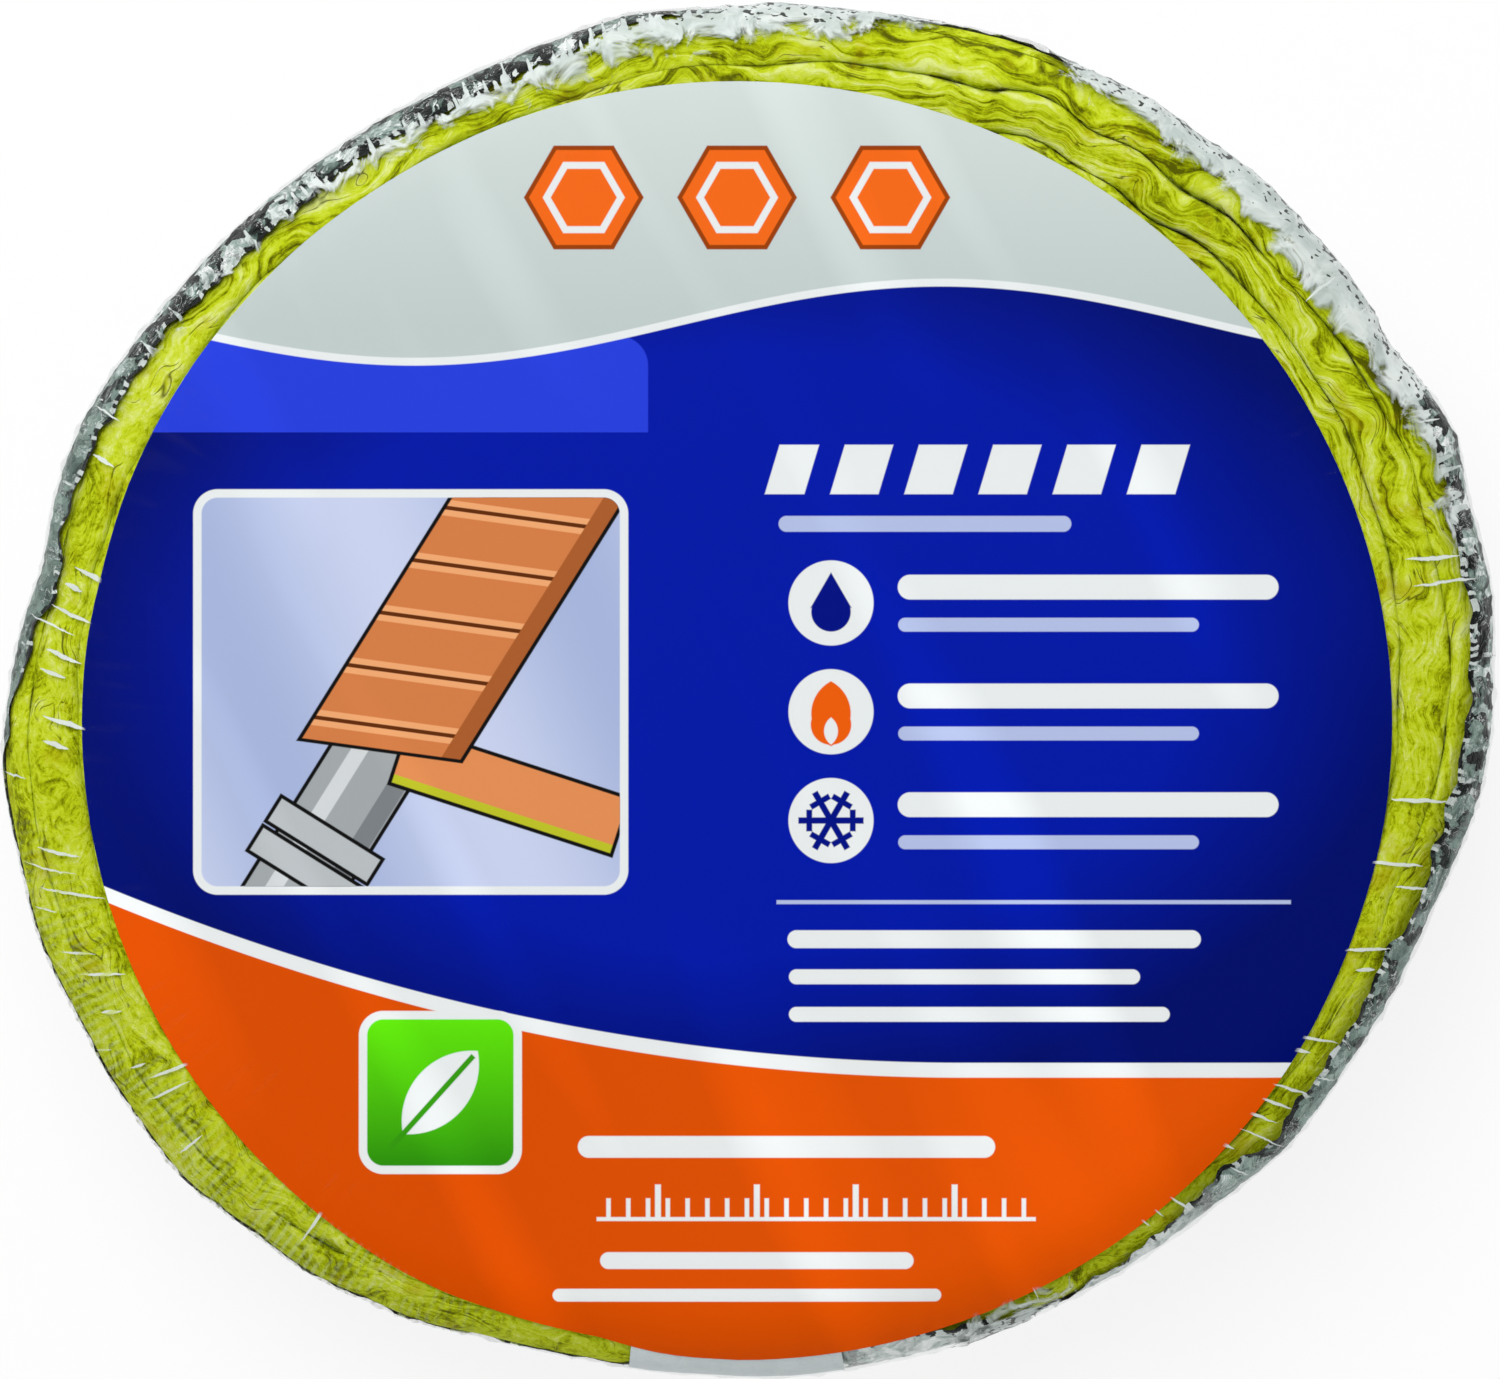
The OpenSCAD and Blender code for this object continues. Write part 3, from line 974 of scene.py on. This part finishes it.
def lay_inner_foil(u, v):
    """The foil's edges between the turns, at both ends: u runs along the strip."""
    turn = 1 + u * (TURNS - 2)
    heading = WIND_FROM + turn * TAU
    inset = np.maximum((turn - 1) * TURN_T, INNER_IN)
    x, y = oval(heading, inset)
    row = np.rint(v * (len(EDGE_IN) - 1)).astype(int)
    level, from_edge = EDGE_LEVELS[row], EDGE_IN[row]
    shows = 1.5 * near(clock(x, y), 226, 18) + 1.1 * near(clock(x, y), 52, 16)
    below = from_edge + 2.6 - shows - 1.5 * rag(x, y, level * 50)
    z = MID_Z + level * (TOP_Z - MID_Z - below - shoulder_drop(inset))
    sway = 0.35 * rag(y, x, level * 70) * (below < 5)
    x, y = oval(heading, inset + sway)
    x, y = wander(x, y, inset)
    x, y, z = settle(x, y, z, heading, inset)
    return (x, y, z), (wound_length(turn), from_edge)


# Faces round the roll in the foil's and the film's nets
AROUND = 1080

wool_bm, wool_mesh = net("wool", round(STEPS * TURNS), len(SHARE) - 1, lay_wool)
wool = finish_piece(
    wool_bm, wool_mesh, "wool_strip", [wool_finish()], "fiberglass_blanket"
)

foil_bm, foil_mesh = net("foil", AROUND, 44, lay_outer_foil)
inner_steps = round(STEPS * (TURNS - 2))
inner_bm, inner_mesh = net("foil_edges", inner_steps, len(EDGE_IN) - 1, lay_inner_foil)
inner_bm.to_mesh(inner_mesh)
inner_bm.free()
foil_bm.from_mesh(inner_mesh)
finish_piece(foil_bm, foil_mesh, "foil_strip", [foil_finish()], "foil_facing")

# ---------------------------------------------------------------- film, tape and label

# The film's way from the middle of the back to the middle of the front, with the share of its
# net up to each point. Most of its faces lie on the shoulders and in a band next to them.
BAND = 30
PATHS = [-PATH_END, -HALF_WALL - ROUND - BAND, -HALF_WALL - ROUND, -HALF_WALL]
PATHS = PATHS + [-p for p in PATHS[::-1]]
PATH_AT = [0, 0.16, 0.26, 0.40, 0.60, 0.74, 0.84, 1]

# How far in from the rim the creased film reaches, and its pleats round the roll
CREASED_TO = 26.0
PLEATS = 118

# How far the plain film lies under the CAD film's outer side, and at least at the back
FILM_UNDER, FILM_LEAST = 0.5, 0.02


def lay_film(u, v):
    """The film: u runs round the roll and v from the middle of its back to that of its front."""
    heading = u * TAU
    path = np.interp(v, PATH_AT, PATHS)
    x, y, z, inset = skin(heading, path, 0.0)
    over = np.abs(path) - HALF_WALL
    pleat = 0.5 + 0.5 * np.sin(heading * PLEATS + 5 * slide_x(x, y) + 3 * rag(x, y, z) * 0.4)
    pleat = pleat**4 * smooth(-14, 4, over) * smooth(46, 16, over)
    pleat = pleat * (0.5 + 0.5 * slide_y(y, x)).clip(0, 1)
    wave = 0.16 * (1 + rag(x * 0.25, y * 0.25, z * 0.2)).clip(0, 2) * smooth(10, 30, inset)
    wave = wave * np.where(path > 0, 0.4, 1.0)
    edge_x, edge_y = oval(heading, 0.0)
    plain = np.degrees(heading + LEVEL)
    share = (plain + (clock(edge_x, edge_y) - plain + 180) % 360 - 180) / 360
    chart = share * GIRTH, np.where(over > 0, inset, over)
    proud = FILM_OUT - FILM_UNDER + 0.35 * smooth(0, 9, over) + 0.6 * pleat + wave
    proud = np.where(path > 0, proud, np.minimum(proud, FILM_OUT - FILM_LEAST))
    x, y, z, inset = skin(heading, path, proud)
    return settle(x, y, z, heading, inset), chart


def film_part(u, v):
    """Which of the film's two finishes a face has: tight, or creased at the shoulders."""
    return np.abs(np.interp(v, PATH_AT, PATHS)) < HALF_WALL + ROUND + CREASED_TO - SHOULDER


# Heading of the tape's middle, and how far it lies over the foil and follows its crumples
TAPE_HEADING, _ = place_on_oval(HALF_W * math.cos(TAPE_WAY), HALF_W * math.sin(TAPE_WAY))
TAPE_OVER, TAPE_DIP, TAPE_RISE = 0.2, 0.2, 0.1


def lay_tape(u, v):
    """The tape: u runs across it and v along it, up the side and over both shoulders."""
    along = (v - 0.5) * 2 * (HALF_WALL + ROUND + TAPE_LAP)
    heading = TAPE_HEADING + (u - 0.5) * TAPE_W / SIDE_R
    x, y, z, _ = skin(heading, along, 0.0)
    deep = crush(x, y, z).clip(-TAPE_DIP, TAPE_RISE)
    x, y, z, inset = skin(heading, along, deep + TAPE_OVER)
    return settle(x, y, z, heading, inset), ((u - 0.5) * TAPE_W, along)


# Distance between the card's cross cuts, by which it can bend, and the reach of the cuts
GRID, GRID_END = 4, 128


def cut_card():
    """The label's card: an oval sheet, cut along its parts' borders and bent over the shoulder."""
    bm = bmesh.new()
    bmesh.ops.create_circle(bm, cap_ends=True, segments=200, radius=1)
    bmesh.ops.scale(bm, vec=(LABEL_W, LABEL_H, 1), verts=bm.verts)
    steps = range(-GRID_END, GRID_END + 1, GRID)
    cuts = [((at, 0, 0), (1, 0, 0)) for at in (PICTURE_X, *steps)]
    cuts += [((0, at, 0), (0, 1, 0)) for at in (CREST_Y, FOOT_Y, *steps)]
    for point, facing in cuts:
        whole = bm.verts[:] + bm.edges[:] + bm.faces[:]
        bmesh.ops.bisect_plane(bm, geom=whole, plane_co=point, plane_no=facing, dist=1e-4)

    names = list(LABEL_PARTS)
    for face in bm.faces:
        face.material_index = names.index(label_part(*face.calc_center_median().xy))
    bmesh.ops.rotate(bm, matrix=Matrix.Rotation(-LEVEL, 3, "Z"), verts=bm.verts)
    bmesh.ops.translate(bm, vec=(LABEL_X, LABEL_Y, 0), verts=bm.verts)
    for vert in bm.verts:
        x, y, _ = vert.co
        heading, inset = place_on_oval(x, y)
        past = max(SHOULDER - float(inset), 0.0)
        z = TOP_Z - SHOULDER + math.sqrt((SHOULDER + LABEL_OUT) ** 2 - past**2)

        # The card waves very slightly
        z += 0.1 * min(float(slide_x(x * 0.5, y * 0.5)), 0.6)
        vert.co = [float(c) for c in settle(x, y, z, heading, inset)]
    bmesh.ops.scale(bm, vec=(MM,) * 3, verts=bm.verts)
    bmesh.ops.solidify(bm, geom=bm.faces[:], thickness=CARD_T * MM)
    bmesh.ops.recalc_face_normals(bm, faces=bm.faces)

    # Only the faces that look up are printed
    for face in bm.faces:
        if face.normal.z < 0.2:
            face.material_index = len(LABEL_PARTS)
    return bm


film_bm, film_mesh = net("film", AROUND, 72, lay_film, finish=film_part)
film_finishes = [clear_film_finish(), creased_film_finish()]
finish_piece(film_bm, film_mesh, "film_wrap", film_finishes, "shrink_film")

tape_bm, tape_mesh = net("tape", 44, 130, lay_tape, joined=False)
finish_piece(tape_bm, tape_mesh, "tape_strip", [tape_finish()], "closure_tape")

card_mesh = bpy.data.meshes.new("card")
card_finishes = [label_finish(part) for part in LABEL_PARTS] + [bare_card_finish()]
card = finish_piece(cut_card(), card_mesh, "label_card", card_finishes, "label_disc")
card.data.set_sharp_from_angle(angle=math.radians(40))

# ---------------------------------------------------------------- floor, light and camera

# The label's right and its upward way
RIGHT = Vector((math.cos(LEVEL), -math.sin(LEVEL), 0))
UP = Vector((math.sin(LEVEL), math.cos(LEVEL), 0))


def floor_finish():
    """A pale floor that takes the roll's shadow and looks nearly white."""
    r = Recipe("pale floor")
    path = r.node("LightPath")
    seen = path.socket.node.outputs
    lit = r.node("BsdfDiffuse", {}, {"Color": paint(246, 246, 246)})
    glow = r.node("Emission", {}, {"Color": (1, 1, 1, 1), "Strength": 1.0})
    share = Value(r, seen["Is Camera Ray"])
    for other in ("Is Glossy Ray", "Is Transmission Ray"):
        share = r.most(share, Value(r, seen[other]))
    return r.surface(r.node("MixShader", {}, {0: share * 0.85, 1: lit, 2: glow}))


bm = bmesh.new()
bmesh.ops.create_grid(bm, x_segments=2, y_segments=2, size=4)
floor_mesh = bpy.data.meshes.new("floor")
bm.to_mesh(floor_mesh)
bm.free()
floor_mesh.materials.append(floor_finish())
floor = bpy.data.objects.new("floor", floor_mesh)
bpy.context.scene.collection.objects.link(floor)

studio = Recipe("studio", "World")
_, _, up = studio.parts(studio.node("TexCoord", out="Generated"))
walls = {"Color": (1, 1, 1, 1), "Strength": 1.0 - studio.between(up, 0.08, 0.6, 0.68)}
bpy.context.scene.world = studio.surface(studio.node("Background", {}, walls))


def lamp(name, over, turn, lean, away, width, length, power):
    """A soft lamp that faces a point over the roll.

    turn is the way round from the label's level line, and lean is the angle up, in degrees.
    """
    data = bpy.data.lights.new(name, "AREA")
    data.shape, data.size, data.size_y, data.energy = "RECTANGLE", width, length, power
    made = bpy.data.objects.new(name, data)
    a, e = math.radians(turn), math.radians(lean)
    way = (RIGHT * math.cos(a) + UP * math.sin(a)) * math.cos(e) + Vector((0, 0, math.sin(e)))
    made.location = Vector(over) + way * away
    made.rotation_mode = "QUATERNION"
    made.rotation_quaternion = way.to_track_quat("Z", "Y")
    bpy.context.scene.collection.objects.link(made)


CENTRE = (0, 0, 0.06)
lamp("key", CENTRE, turn=115, lean=66, away=3.0, width=1.8, length=1.8, power=68)
lamp("rim", CENTRE, turn=95, lean=18, away=1.6, width=1.2, length=0.3, power=4)

# What the camera aims at, near the middle of the front end, its distance from that, the width
# that it takes in there, and its sensor
AIM_X, AIM_Y, AIM_Z = 0.0004, 0.0009, 0.064
AWAY, WIDE, SENSOR = 1.6, 0.306, 36
camera = bpy.data.objects.new("camera", bpy.data.cameras.new("camera"))
bpy.context.scene.collection.objects.link(camera)
aim = Vector((0, 0, AIM_Z)) + RIGHT * AIM_X + UP * AIM_Y
turned = Matrix((RIGHT, UP, Vector((0, 0, 1)))).transposed().to_4x4()
camera.matrix_world = Matrix.Translation(aim + Vector((0, 0, AWAY))) @ turned
camera.data.sensor_width = SENSOR
camera.data.lens = SENSOR * AWAY / WIDE
camera.data.clip_end = 20
bpy.context.scene.camera = camera
bpy.context.scene.view_settings.view_transform = "Standard"
